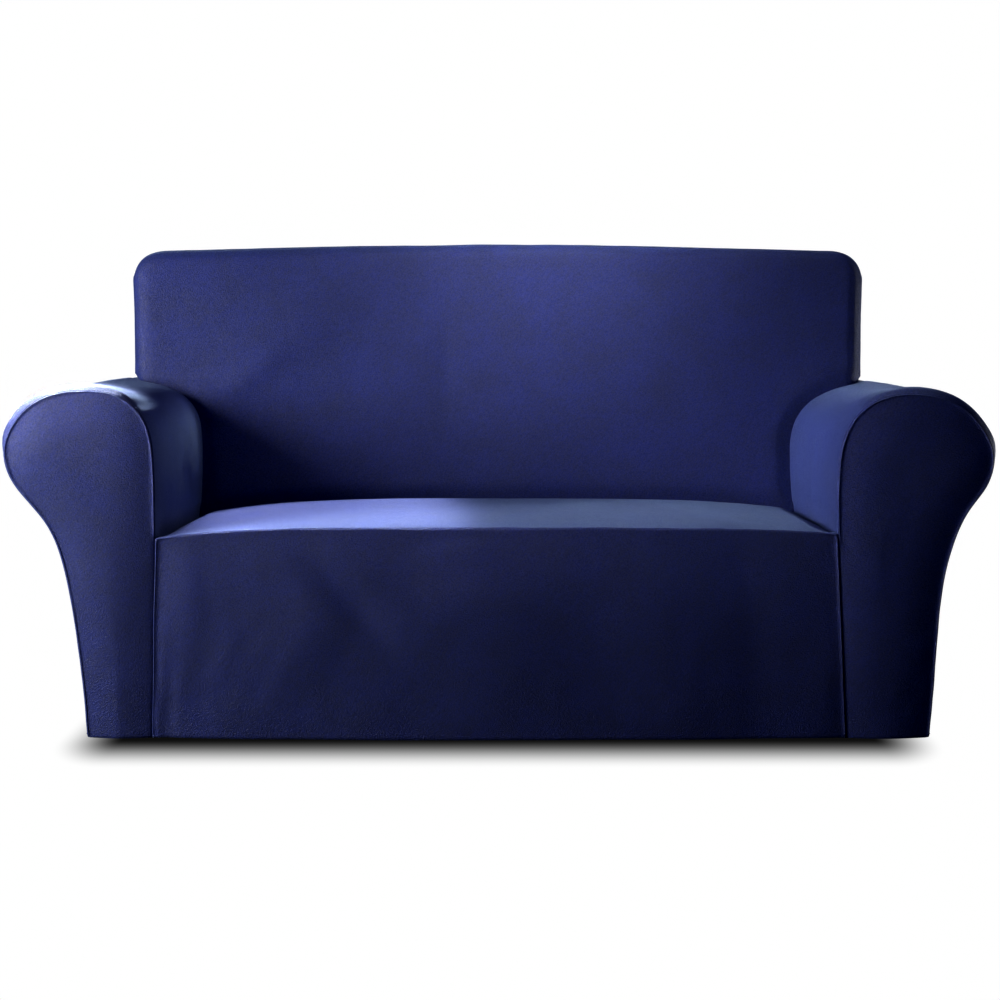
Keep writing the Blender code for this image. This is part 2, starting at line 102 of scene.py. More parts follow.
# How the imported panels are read, in metres
SAME_POINT = 0.00001
RIM_WIDTH = 0.0042          # the panels' cut edges are narrower than this
WELD_REACH = 0.0006         # and their seams are less than this wide
NEAR = 0.001                # points closer than this to a plane lie on it
CORNER_WELD = 0.0001        # the outside back meets its neighbours within this
HEM_HEIGHT = 0.008          # the hem lies under this height
SKIRT_SEAM_TOP = 0.365      # the seam between skirt and arm front ends at this height
SKIRT_SEAM_FADE = 0.015     # and what runs along it fades this far below
SKIRT_SEAM_PLACE = (0.58, 0.64)     # it lies this far from the middle
BACK_TOP_HEIGHT = 0.8
BACK_CORNER_OUT = 0.73      # the backrest's top runs between its corners, nearer the middle than this
ARM_FRONT_CUTS = 5          # an arm front is divided this often across

# Rows of narrow cells lie this far from each seam and from the hem
SEAM_ROWS = (0.0007, 0.0014, 0.0022, 0.0034, 0.0052)
ROWS_SHARE = 0.8            # in a short cell they are squeezed into this share of it

# A seam is tucked in where its panels bend towards each other: not at all up to the first of these angles,
# in radians, and fully from the second on. The tuck runs out over these distances from the front and rear.
TUCK_BEND = (0.35, 1.2)
TUCK_FRONT = (0.03, 0.12)
TUCK_REAR = (0.05, 0.01)

LIP_PATCHES = 28.0          # a seam's lip rises and falls this many times in a metre
LIP_SHARE = (0.8, 0.6)      # the lip's mean height, and how much it varies
SEAM_BLEND = 0.010          # about this near, the cloth moves in its seam's own direction
FORM_CLEARANCE = 0.005      # and about this near, the soft forms die out
SHOULDER_SIDE = (0.1, 0.7)  # how far a sleeve's face turns outwards and up where its swelling sets in,
SHOULDER_UP = 1.2           # with up counted this many times,
SHOULDER_RISE = (-0.15, 0.45)       # and how far it turns up alone
SWAY_SEED = 3               # the cloth's wide dips are the same in each run
SWAY_UPRIGHT = 0.5          # and half as strong in height
LONGEST_MITRE = 1.6         # a step out from a sharp corner is no longer than this
LIKE_DIRECTIONS = 0.05      # panels whose directions differ by a smaller share count as one
HARD_EDGE = math.radians(60)

TINT_A, TINT_B, TINT = 6, 7, 2      # a Mix node's two colours, and the colour that it puts out
WHITE = (1.0, 1.0, 1.0, 1.0)
GLOSS_CHANGE = 0.20         # the pile's tips are glossier than the mean by this, and its ground duller

# Soft forms pressed into the worn cloth: panel, middle of the form (across, along), its lie in degrees from
# the panel's across direction, half its length and width, and how far it stands out, or in if negative.
# Along is the height, but on the seat the depth.
Form = namedtuple("Form", "panel across along lie half_length half_width rise")
FORMS = [
    Form("front_skirt", -0.580, 0.060, 88.0, 0.080, 0.011, -0.0024),
    Form("front_skirt", -0.602, 0.035, 95.0, 0.050, 0.005, 0.0018),
    Form("front_skirt", -0.568, 0.361, 15.0, 0.014, 0.004, 0.0012),
    Form("front_skirt", -0.545, 0.240, 95.0, 0.100, 0.028, 0.0028),
    Form("front_skirt", -0.270, 0.250, 134.0, 0.110, 0.030, -0.0060),
    Form("front_skirt", 0.000, 0.160, 95.0, 0.180, 0.100, 0.0040),
    Form("front_skirt", 0.460, 0.150, 100.0, 0.150, 0.050, -0.0040),
    Form("front_skirt", -0.124, 0.352, 4.0, 0.080, 0.010, -0.0016),
    Form("front_skirt", -0.460, 0.180, 58.0, 0.070, 0.014, 0.0005),
    Form("front_skirt", -0.405, 0.130, 64.0, 0.080, 0.016, -0.0005),
    Form("back_inner", -0.400, 0.827, 5.0, 0.070, 0.007, -0.0012),
    Form("back_inner", -0.393, 0.805, 14.0, 0.040, 0.007, -0.0010),
    Form("back_inner", -0.308, 0.716, 23.0, 0.035, 0.006, -0.0009),
    Form("back_inner", -0.274, 0.760, 20.0, 0.020, 0.006, -0.0008),
    Form("back_inner", -0.110, 0.671, 90.0, 0.100, 0.022, -0.0020),
    Form("back_inner", -0.513, 0.632, 36.0, 0.100, 0.030, 0.0035),
    Form("back_inner", -0.173, 0.396, 5.0, 0.050, 0.012, 0.0020),
    Form("seat_top", 0.588, -0.340, 92.0, 0.100, 0.007, -0.0030),
    Form("seat_top", 0.596, -0.370, 90.0, 0.060, 0.004, 0.0020),
    Form("arm_front_right", 0.614, 0.347, 130.0, 0.014, 0.006, -0.0030),
]

# The studio's lights: power in watts, size, place, the point each is turned to, and its spread in degrees
Lamp = namedtuple("Lamp", "name power size place target spread")
LAMPS = [
    Lamp("key_left", 55.0, 0.8, (-2.0, -1.0, 1.0), (-0.6, -0.4, 0.4), 180.0),
    Lamp("far_left", 25.0, 1.0, (-2.3, -1.9, 1.3), (-0.5, -0.4, 0.4), 180.0),
    Lamp("top_middle", 6.5, 1.2, (0.2, -0.2, 1.9), (0.1, 0.0, 0.4), 180.0),
    Lamp("seat_left", 2.7, 0.50, (-0.37, 0.22, 2.4), (-0.33, -0.20, 0.37), 5.0),
    Lamp("arm_top", 1.2, 0.18, (-1.6, 0.6, 1.7), (-0.76, -0.35, 0.62), 8.0),
    Lamp("right_arm", 1.2, 0.5, (-2.0, -1.2, 1.1), (0.62, -0.12, 0.48), 16.0),
    Lamp("upper_back", 1.4, 0.5, (0.1, -1.0, 2.3), (0.10, 0.25, 0.95), 26.0),
    Lamp("beside_right", 30.0, 0.6, (3.0, 1.0, 0.35), (0.8, 0.0, 0.4), 180.0),
    Lamp("behind", 60.0, 1.2, (0.6, 3.0, 0.6), (0.0, 0.4, 0.4), 180.0),
]


def length(name, description, default):
    """A size that a user can change."""
    return FloatProperty(name=name, description=description, default=default, unit="LENGTH")


def factor(name, description, default):
    """A share or a strength that a user can change."""
    return FloatProperty(name=name, description=description, default=default, subtype="FACTOR")


class ClothSettings(PropertyGroup):
    """How fine and how thick the cloth is."""

    cell: length("Cell", "Longest side of a cell of the coarse surface", 0.048)
    halvings: IntProperty(
        name="Halvings", description="How often each coarse cell is halved", default=2, min=1, max=3
    )
    thickness: length("Thickness", "The knit with its pile", 0.0015)
    seam_room: length("Seam room", "Each panel stops this far from its seam", 0.00006)


class SeamSettings(PropertyGroup):
    """How the cloth runs beside a seam and at the hem."""

    groove: length("Groove", "How deep the stitches draw the seam in", 0.0009)
    groove_reach: length("Groove reach", "Half the groove's width", 0.0026)
    lip: length("Lip", "How far the turned cloth stands out beside a seam", 0.0008)
    lip_place: length("Lip place", "How far from the seam the lip is highest", 0.0045)
    lip_reach: length("Lip reach", "How fast the lip fades", 0.0040)
    ridge: length("Ridge", "How far the turnings under an arm front's edge push it out", 0.0021)
    ridge_place: length("Ridge place", "How far from the seam this is highest", 0.0022)
    ridge_reach: length("Ridge reach", "How fast it fades", 0.0013)
    tuck: length("Tuck", "How deep a seam is pushed between seat, arms and back", 0.009)
    tuck_reach: length("Tuck reach", "How wide the cloth bends into a tuck", 0.016)
    hem_roll: length("Hem roll", "How far the hem's edge curls in", 0.0014)
    hem_reach: length("Hem reach", "The height over which it curls", 0.005)


class ShapeSettings(PropertyGroup):
    """How full and how uneven the worn cloth is."""

    puff: length("Puff", "How far an arm's front stands out in its middle", 0.011)
    puff_width: length("Puff width", "From its edge to where it is full", 0.085)
    shoulder: length("Shoulder", "How far a sleeve swells behind the front of its roll", 0.0070)
    shoulder_width: length("Shoulder width", "From the seam to where the swelling is full", 0.016)
    shoulder_hold: length("Shoulder hold", "From the seam to where it begins to fade", 0.04)
    shoulder_depth: length("Shoulder depth", "From the seam to where it has died out", 0.20)
    sway: length("Sway", "How far the cloth wanders over a hand's width", 0.0016)
    sway_size: length("Sway size", "The size of these wide dips", 0.14)
    dimple: length("Dimple", "How far it wanders over a finger's width", 0.0004)
    dimple_size: length("Dimple size", "The size of these small dips", 0.035)


class VelvetSettings(PropertyGroup):
    """The velvet's colours and pile."""

    deep: FloatVectorProperty(
        name="Deep", description="Colour where the nap lies away", default=(0.0010, 0.0092, 0.102),
        subtype="COLOR",
    )
    raised: FloatVectorProperty(
        name="Raised", description="Colour where the nap stands up", default=(0.0020, 0.0150, 0.166),
        subtype="COLOR",
    )
    gloss: factor("Gloss", "How strong the white gloss on the pile's tips is", 1.0)
    gloss_roughness: factor("Gloss roughness", "How wide that gloss spreads", 0.65)
    bloom: FloatVectorProperty(
        name="Bloom", description="Colour of the sheen", default=(0.60, 0.78, 1.0), subtype="COLOR"
    )
    bloom_weight: factor("Bloom weight", "How strong the sheen is", 0.32)
    bloom_roughness: factor("Bloom roughness", "How wide the sheen spreads", 0.5)
    grain: length("Grain", "Height of the pile's grain", 0.0018)
    patches: FloatProperty(
        name="Patches", description="How many patches of like nap lie in a metre", default=16.0
    )
    flecks: FloatProperty(
        name="Flecks", description="How many flecks of turned pile lie in a metre", default=380.0
    )


class StageSettings(PropertyGroup):
    """The camera, the floor with its painted shadow, and the lights."""

    distance: length("Distance", "From the camera to the cover's middle", 3.79)
    eye_height: length("Eye height", "The camera's height over the hem", 0.748)
    lens: FloatProperty(name="Lens", description="Focal length in millimetres", default=68.4)
    shift: FloatVectorProperty(
        name="Shift", description="The camera's shift, sideways and up", default=(0.0015, -0.184), size=2
    )
    floor_drop: length("Floor drop", "The hem clears the floor by this much", 0.010)
    # The painted shadow on the floor: dark under the cover, fading to white round its foot.
    painted_shadow_half: FloatVectorProperty(
        name="Shade", description="Half the width and depth of the dark floor under the cover",
        default=(0.67, 0.39), size=2, unit="LENGTH",
    )
    painted_shadow_reach: FloatVectorProperty(
        name="Shade reach", description="How far it fades to the sides, and to front and back",
        default=(0.12, 0.22), size=2, unit="LENGTH",
    )
    light: factor("Light", "Every lamp's power is times this", 1.0)
    room: FloatVectorProperty(
        name="Room", description="Colour of the room's own faint light", default=(0.02, 0.07, 1.0),
        subtype="COLOR",
    )
    room_light: factor("Room light", "How strong that light is", 0.09)
    contrast: factor("Contrast", "Gamma of the view", 0.7)
    black: factor("Black", "Light that still counts as black", 0.005)


class SlipcoverSettings(PropertyGroup):
    """All that a maker would change."""

    cloth: PointerProperty(type=ClothSettings)
    seam: PointerProperty(type=SeamSettings)
    shape: PointerProperty(type=ShapeSettings)
    velvet: PointerProperty(type=VelvetSettings)
    stage: PointerProperty(type=StageSettings)


def settings():
    """The values set for this scene."""
    return bpy.context.scene.slipcover


# The joined surface

def islands(cloth):
    """Groups of faces that hang together."""
    left = set(cloth.faces)
    while left:
        group = set()
        reached = [next(iter(left))]
        while reached:
            face = reached.pop()
            if face in group:
                continue
            group.add(face)
            for edge in face.edges:
                reached += [other for other in edge.link_faces if other not in group]
        left -= group
        yield group


def faces_away(group, hollow):
    """Whether a group of faces points away from the hollow behind its panel."""
    return sum(face.normal.dot(face.calc_center_median() - hollow) * face.calc_area() for face in group) > 0


def face_side(node):
    """The face side of a packed panel, in four-sided cells. Its cut edge and its back are dropped."""
    cloth = bmesh.new()
    cloth.from_mesh(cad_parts[node].data)
    bmesh.ops.remove_doubles(cloth, verts=cloth.verts, dist=SAME_POINT)
    rim = [face for face in cloth.faces if min(edge.calc_length() for edge in face.edges) < RIM_WIDTH]
    bmesh.ops.delete(cloth, geom=rim, context="FACES")
    hollow = Vector(PANELS[node].hollow)
    back = [face for group in islands(cloth) if not faces_away(group, hollow) for face in group]
    bmesh.ops.delete(cloth, geom=back, context="FACES")
    bmesh.ops.join_triangles(
        cloth, faces=cloth.faces, angle_face_threshold=math.pi, angle_shape_threshold=math.pi
    )
    for face in cloth.faces:
        face.material_index = NUMBERS[node]
    return cloth


def joined_panels():
    """Every panel that isn't spanned anew, welded to its neighbours along their seams."""
    surface = bmesh.new()
    for node in PANELS:
        if node not in SPANNED:
            cloth = face_side(node)
            mesh = bpy.data.meshes.new(node)
            cloth.to_mesh(mesh)
            cloth.free()
            surface.from_mesh(mesh)
            bpy.data.meshes.remove(mesh)
    bmesh.ops.remove_doubles(surface, verts=surface.verts, dist=WELD_REACH)
    return surface


def ring_of(edge):
    """An edge with the edges that face it, across each four-sided cell in turn."""
    ring = [edge]
    found = {edge}
    for here in ring:
        for loop in here.link_loops:
            if len(loop.face.verts) == 4:
                far = loop.link_loop_next.link_loop_next.edge
                if far not in found:
                    found.add(far)
                    ring.append(far)
    return ring


def even_out(surface, cell):
    """Divide the cells' long sides, so that none is much longer than a cell should be."""
    seen = set()
    long_rings = []
    for edge in surface.edges:
        if edge in seen:
            continue
        ring = ring_of(edge)
        seen.update(ring)
        lengths = [other.calc_length() for other in ring]
        typical = (sum(lengths) / len(lengths) + max(lengths)) / 2
        cuts = math.ceil(typical / cell) - 1
        if cuts > 0:
            long_rings.append((edge, cuts))
    for edge, cuts in long_rings:
        bmesh.ops.subdivide_edges(surface, edges=ring_of(edge), cuts=cuts, use_grid_fill=True)


def in_order(edges, start):
    """The points along a chain of edges, from its start."""
    chain = [start]
    left = set(edges)
    while left:
        edge = next((edge for edge in chain[-1].link_edges if edge in left), None)
        if edge is None:
            break
        left.discard(edge)
        chain.append(edge.other_vert(chain[-1]))
    return chain


def chain_edges(chain):
    """The edges between the points of a chain."""
    return [next(edge for edge in start.link_edges if edge.other_vert(start) is stop)
            for start, stop in zip(chain, chain[1:])]


def bridged(surface, first, second, number, cuts):
    """Span two chains of points with a panel's cells, and divide them across."""
    before = set(surface.edges)
    made = bmesh.ops.bridge_loops(surface, edges=chain_edges(first) + chain_edges(second))["faces"]
    for face in made:
        face.material_index = number
    across = dict.fromkeys(edge for face in made for edge in face.edges if edge not in before)
    bmesh.ops.subdivide_edges(surface, edges=list(across), cuts=cuts, use_grid_fill=True)


def open_edges(surface, test):
    """The surface's open edges whose two ends both pass a test."""
    return [edge for edge in surface.edges if edge.is_boundary and all(test(vert.co) for vert in edge.verts)]


def add_arm_front(surface, side, front_y):
    """Fill one arm's front between the inner and the outer half of its outline."""
    outline = open_edges(surface, lambda co: abs(co.y - front_y) < NEAR and co.x * side > 0)
    outline = [edge for edge in outline if max(vert.co.z for vert in edge.verts) > HEM_HEIGHT]
    ends = {vert for edge in outline for vert in edge.verts if vert.co.z < HEM_HEIGHT}
    chain = in_order(outline, min(ends, key=lambda vert: abs(vert.co.x)))
    half = len(chain) // 2
    node = "arm_front_left" if side < 0 else "arm_front_right"
    bridged(surface, chain[:half], chain[half:], NUMBERS[node], ARM_FRONT_CUTS)


def add_outside_back(surface, rear_y):
    """Fill the outside back between its two sides, and fit its top edge to the backrest's."""
    edges = open_edges(surface, lambda co: co.y > rear_y - NEAR)
    ends = {vert for edge in edges for vert in edge.verts if vert.co.z < HEM_HEIGHT}
    chain = in_order(edges, min(ends, key=lambda vert: vert.co.x))
    corner = next(index for index, vert in enumerate(chain)
                  if vert.co.z > BACK_TOP_HEIGHT and abs(vert.co.x) < BACK_CORNER_OUT)
    places = [vert.co.copy() for vert in chain[corner:-corner]]
    number = NUMBERS["back_outer"]
    bridged(surface, chain[:corner + 1], chain[-corner - 1:], number, len(places) - 2)
    edges = open_edges(surface, lambda co: co.y > rear_y - NEAR and co.z > BACK_TOP_HEIGHT)
    edges = [edge for edge in edges if edge.link_faces[0].material_index == number]
    start = min((vert for edge in edges for vert in edge.verts), key=lambda vert: vert.co.x)
    for vert, place in zip(in_order(edges, start), places):
        vert.co = place
    bmesh.ops.remove_doubles(surface, verts=surface.verts, dist=CORNER_WELD)


def whole_surface():
    """The whole cover as one coarse surface, whose faces know their panel and point outwards."""
    surface = joined_panels()
    front_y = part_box("arm_sleeve_left")[0].y
    rear_y = max(vert.co.y for vert in surface.verts)
    even_out(surface, settings().cloth.cell)
    for side in (-1, 1):
        add_arm_front(surface, side, front_y)
    add_outside_back(surface, rear_y)
    bmesh.ops.recalc_face_normals(surface, faces=surface.faces)
    seat = next(face for face in surface.faces if face.material_index == NUMBERS["seat_top"])
    if seat.normal.z < 0:
        bmesh.ops.reverse_faces(surface, faces=surface.faces)
    return surface


def is_line(edge):
    """Whether an edge lies on a seam or on the hem."""
    return edge.is_boundary or len({face.material_index for face in edge.link_faces}) > 1


def smoothed(surface):
    """The coarse surface, rounded and made fine, with its seams kept as clean lines."""
    crease = surface.edges.layers.float.new("crease_edge")
    for edge in surface.edges:
        edge[crease] = 1.0 if is_line(edge) else 0.0
    mesh = bpy.data.meshes.new(SURFACE + "_coarse")
    surface.to_mesh(mesh)
    holder = bpy.data.objects.new(SURFACE, mesh)
    bpy.context.scene.collection.objects.link(holder)
    rounding = holder.modifiers.new("rounding", "SUBSURF")
    rounding.levels = settings().cloth.halvings
    rounding.render_levels = rounding.levels
    rounding.boundary_smooth = "PRESERVE_CORNERS"
    fine = bmesh.new()
    fine.from_mesh(holder.evaluated_get(bpy.context.evaluated_depsgraph_get()).data)
    bpy.data.objects.remove(holder)
    bpy.data.meshes.remove(mesh)
    return fine


# Narrow cells beside the seams

def mark_rows(edge, start):
    """Points along an edge that leaves a seam, one for each row, the nearest first."""
    stop = edge.other_vert(start)
    far = edge.calc_length()
    squeeze = min(1.0, ROWS_SHARE * far / SEAM_ROWS[-1])
    marks = []
    for row in reversed(SEAM_ROWS):
        reach = row * squeeze
        _, mark = bmesh.utils.edge_split(edge, start, reach / far)
        edge = next(link for link in start.link_edges if link.other_vert(start) is mark)
        far = reach
        marks.insert(0, mark)
    return marks


def inner_corner(start, first, second, reach):
    """The point that lies a reach away from both seams that meet at a point."""
    along = (first.co - start.co).normalized() + (second.co - start.co).normalized()
    return start.co + along * reach


def add_seam_rows(fine):
    """Narrow cells beside each seam and the hem, so that a groove and its lips can be shaped."""
    on_line = {vert for edge in fine.edges if is_line(edge) for vert in edge.verts}
    cells = []
    for face in fine.faces:
        leaving = [edge for edge in face.edges if sum(vert in on_line for vert in edge.verts) == 1]
        if len(leaving) == 2:
            cells.append((face, leaving, [vert for vert in face.verts if vert in on_line]))
    starts = {}
    for _, leaving, _ in cells:
        for edge in leaving:
            starts[edge] = next(vert for vert in edge.verts if vert in on_line)
    rows = {edge: (start, mark_rows(edge, start)) for edge, start in starts.items()}
    for _, leaving, corners in cells:
        split_cell(rows[leaving[0]], rows[leaving[1]], corners)


def split_cell(first, second, corners):
    """Split a cell beside a seam into rows, between the marks on its two sides."""
    start, low = first
    stop, high = second
    corner = [vert for vert in corners if vert not in (start, stop)]
    for index in reversed(range(len(SEAM_ROWS))):
        shared = [link for link in low[index].link_faces if link in high[index].link_faces]
        if not shared:
            continue
        places = []
        if corner:
            places = [inner_corner(corner[0], start, stop, SEAM_ROWS[index])]
        bmesh.utils.face_split(shared[0], low[index], high[index], coords=places)


# Shaping the worn cloth

def panel_normals(fine):
    """For each panel, the outward direction at each of its points, as that panel alone gives it."""
    normals = {number: {} for number in NUMBERS.values()}
    for face in fine.faces:
        share = face.normal * face.calc_area()
        own = normals[face.material_index]
        for vert in face.verts:
            own[vert.index] = own.get(vert.index, Vector()) + share
    for own in normals.values():
        for index in own:
            own[index].normalize()
    return normals


def mitre(directions):
    """The step that stands one unit out from each of a seam's panels."""
    if len(directions) == 1:
        return directions[0].copy()
    rows = np.array([direction[:] for direction in directions])
    step, _, _, _ = np.linalg.lstsq(rows, np.ones(len(rows)), rcond=LIKE_DIRECTIONS)
    step = Vector(step)
    if step.length > LONGEST_MITRE:
        step.length = LONGEST_MITRE
    return step


def mitres(fine, normals):
    """The mitre at each point of a seam or the hem."""
    found = {}
    for edge in fine.edges:
        if is_line(edge):
            for vert in edge.verts:
                if vert.index not in found:
                    own = [rows[vert.index] for rows in normals.values() if vert.index in rows]
                    found[vert.index] = mitre(own)
    return found


def smooth_step(value, low, high):
    """0 up to the low value, 1 from the high one on, and a soft step between."""
    share = min(1.0, max(0.0, (value - low) / (high - low)))
    return share * share * (3 - 2 * share)


def tuck_share(edge, front_y, rear_y):
    """How far a seam is pushed in: fully in an inner corner, and less where it runs out to an end."""
    if len(edge.link_faces) < 2:
        return 0.0
    one, other = edge.link_faces
    towards = other.calc_center_median() - one.calc_center_median()
    if one.normal.dot(towards) < 0:
        return 0.0
    bend = one.normal.angle(other.normal, 0.0)
    middle = (edge.verts[0].co + edge.verts[1].co) / 2
    front = smooth_step(middle.y, front_y + TUCK_FRONT[0], front_y + TUCK_FRONT[1])
    rear = 1 - smooth_step(middle.y, rear_y - TUCK_REAR[0], rear_y - TUCK_REAR[1])
    return smooth_step(bend, *TUCK_BEND) * front * rear


class Lines:
    """The seam or hem edges of one panel, with what lies nearest to a point."""

    def __init__(self, edges, mitre_of, share_of):
        self.edges = [(edge.verts[0], edge.verts[1]) for edge in edges]
        self.mitre_of = mitre_of
        self.share_of = share_of
        self.tree = kdtree.KDTree(len(edges))
        for index, edge in enumerate(edges):
            self.tree.insert((edge.verts[0].co + edge.verts[1].co) / 2, index)
        self.tree.balance()

    def nearest(self, point):
        """Distance to the lines, and the mitre and the tuck's share there."""
        best = None
        for _, index, _ in self.tree.find_n(point, 3):
            start, stop = self.edges[index]
            _, share = geometry.intersect_point_line(point, start.co, stop.co)
            share = min(1.0, max(0.0, share))
            distance = (start.co.lerp(stop.co, share) - point).length
            if best is None or distance < best[0]:
                best = (distance, start, stop, share)
        distance, start, stop, share = best
        step = self.mitre_of[start.index].lerp(self.mitre_of[stop.index], share)
        tuck = self.share_of[start.index] * (1 - share) + self.share_of[stop.index] * share
        return distance, step, tuck


def seam_profile(distance, strength):
    """How far the cloth stands out beside a seam: drawn in at the stitches, then lifted to a lip."""
    seam = settings().seam
    groove = -seam.groove * max(0.0, 1 - distance / seam.groove_reach) ** 2
    lip = seam.lip * math.exp(-((distance - seam.lip_place) / seam.lip_reach) ** 2)
    return groove + lip * strength


def ridge_share(node, point):
    """How much of the ridge a panel has: an arm front has it, but beside the skirt the skirt does."""
    beside_skirt = 0.0
    if SKIRT_SEAM_PLACE[0] < abs(point.x) < SKIRT_SEAM_PLACE[1]:
        beside_skirt = 1 - smooth_step(point.z, SKIRT_SEAM_TOP - SKIRT_SEAM_FADE, SKIRT_SEAM_TOP)
    if node == "front_skirt":
        return beside_skirt
    return 1 - beside_skirt if node.startswith("arm_front") else 0.0


def form_height(form, across, along):
    """How far a soft form lifts the cloth at one place of its panel."""
    turn = math.radians(form.lie)
    dx = across - form.across
    dz = along - form.along
    lengthwise = (dx * math.cos(turn) + dz * math.sin(turn)) / form.half_length
    sideways = (dz * math.cos(turn) - dx * math.sin(turn)) / form.half_width
    return form.rise * math.exp(-lengthwise ** 2 - sideways ** 2)


def shoulder_height(point, behind, normal, distance):
    """How far a sleeve swells just behind the front of its roll, on the roll's outer and upper side."""
    shape = settings().shape
    outer = math.copysign(normal.x, point.x * normal.x)
    share = smooth_step(outer + SHOULDER_UP * normal.z, *SHOULDER_SIDE)
    share *= smooth_step(normal.z, *SHOULDER_RISE)
    share *= smooth_step(distance, 0.0, shape.shoulder_width)
    return shape.shoulder * share * (1 - smooth_step(behind, shape.shoulder_hold, shape.shoulder_depth))


def shape_panel(fine, node, normals, mitre_of, share_of):
    """How far each point of a panel moves."""
    number = NUMBERS[node]
    seam = settings().seam
    shape = settings().shape
    own = normals[number]
    faces = [face for face in fine.faces if face.material_index == number]
    edges = dict.fromkeys(edge for face in faces for edge in face.edges)
    seams = Lines([edge for edge in edges if is_line(edge) and not edge.is_boundary], mitre_of, share_of)
    hem = [edge for edge in edges if edge.is_boundary]
    hem = Lines(hem, mitre_of, share_of) if hem else None
    forms = [form for form in FORMS if form.panel == node]
    front_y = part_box(node)[0].y
    moves = {}
    for index, normal in own.items():
        point = fine.verts[index].co
        distance, step, tuck = seams.nearest(point)
        strength = LIP_SHARE[0] + LIP_SHARE[1] * noise.noise(point * LIP_PATCHES)
        near = math.exp(-(distance / SEAM_BLEND) ** 2)
        beside = step * near + normal * (1 - near)
        move = beside * seam_profile(distance, strength)
        move -= step * seam.tuck * tuck * math.exp(-(distance / seam.tuck_reach) ** 2)
        free = 1 - math.exp(-(distance / FORM_CLEARANCE) ** 2)
        along = point.y if node == "seat_top" else point.z
        rise = sum(form_height(form, point.x, along) for form in forms)
        rise += shape.dimple * noise.noise(point / shape.dimple_size)
        if node.startswith("arm_front"):
            rise += shape.puff * (1 - max(0.0, 1 - distance / shape.puff_width) ** 2)
        if node.startswith("arm_sleeve"):
            rise += shoulder_height(point, point.y - front_y, normal, distance)
        ridge = seam.ridge * math.exp(-((distance - seam.ridge_place) / seam.ridge_reach) ** 2)
        move += normal * ridge * ridge_share(node, point)
        move += normal * rise * free
        if hem:
            drop, inward, _ = hem.nearest(point)
            curl = max(0.0, 1 - drop / seam.hem_reach) ** 2
            move -= Vector((inward.x, inward.y, 0.0)) * seam.hem_roll * curl
        moves[index] = move
    return moves


def shaped(fine):
    """Move every point of the fine surface to its place on the worn cover."""
    fine.verts.index_update()
    fine.verts.ensure_lookup_table()
    fine.normal_update()
    normals = panel_normals(fine)
    mitre_of = mitres(fine, normals)
    low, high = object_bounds()
    share_of = {}
    for edge in fine.edges:
        if is_line(edge):
            share = tuck_share(edge, low[1], high[1])
            for vert in edge.verts:
                share_of[vert.index] = max(share, share_of.get(vert.index, 0.0))
    total = {}
    for node in PANELS:
        for index, move in shape_panel(fine, node, normals, mitre_of, share_of).items():
            total.setdefault(index, []).append(move)
    shape = settings().shape
    noise.seed_set(SWAY_SEED)
    for index, moves in total.items():
        vert = fine.verts[index]
        sway = noise.noise_vector(vert.co / shape.sway_size) * shape.sway
        sway.z *= SWAY_UPRIGHT
        vert.co += sum(moves, Vector()) / len(moves) + sway
    return fine


def set_behind(fine):
    """Store the step from each point of the cloth's face to the point behind it."""
    behind = fine.verts.layers.float_vector.new("behind")
    fine.normal_update()
    normals = panel_normals(fine)
    mitre_of = mitres(fine, normals)
    thickness = settings().cloth.thickness
    for own in normals.values():
        for index, normal in own.items():
            step = mitre_of.get(index, normal) * -thickness
            vert = fine.verts[index]
            if vert.is_boundary:
                step.z = 0.0
            vert[behind] = step


# Cutting out the panels

def draw_edge_in(cloth):
    """Pull a panel's edge a hair away from its seam line."""
    moves = []
    for vert in cloth.verts:
        if vert.is_boundary:
            middle = sum((face.calc_center_median() for face in vert.link_faces), Vector())
            inside = middle / len(vert.link_faces) - vert.co
            moves.append((vert, inside.normalized() * settings().cloth.seam_room))
    for vert, move in moves:
        vert.co += move


def cut_out(node):
    """Make one panel of the cover as a closed sheet: its face, its back and the cut edge between them."""
    cloth = bmesh.new()
    cloth.from_mesh(bpy.data.meshes[SURFACE])
    others = [face for face in cloth.faces if face.material_index != NUMBERS[node]]
    bmesh.ops.delete(cloth, geom=others, context="FACES")
    draw_edge_in(cloth)
    made = bmesh.ops.extrude_face_region(cloth, geom=cloth.faces[:], use_keep_orig=True)["geom"]
    behind = cloth.verts.layers.float_vector["behind"]
    for item in made:
        if isinstance(item, bmesh.types.BMVert):
            item.co += item[behind]
    bmesh.ops.recalc_face_normals(cloth, faces=cloth.faces)
    for face in cloth.faces:
        face.material_index = 0
        face.smooth = True
    for edge in cloth.edges:
        edge.smooth = edge.calc_face_angle(0.0) < HARD_EDGE
    mesh = bpy.data.meshes.new(node + "_velvet")
    cloth.to_mesh(mesh)
    cloth.free()
    mesh.materials.append(velvet())
    piece = bpy.data.objects.new(node + "_velvet", mesh)
    bpy.context.scene.collection.objects.link(piece)
    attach(piece, BODY)
    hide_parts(node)


# The velvet

def add_node(tree, kind, place, inputs=None, **values):
    """A new node in a tree, with what is set on it and on its unlinked sockets."""
    node = tree.nodes.new(kind)
    node.location = place
    for name, value in values.items():
        setattr(node, name, value)
    for name, value in (inputs or {}).items():
        node.inputs[name].default_value = value
    return node


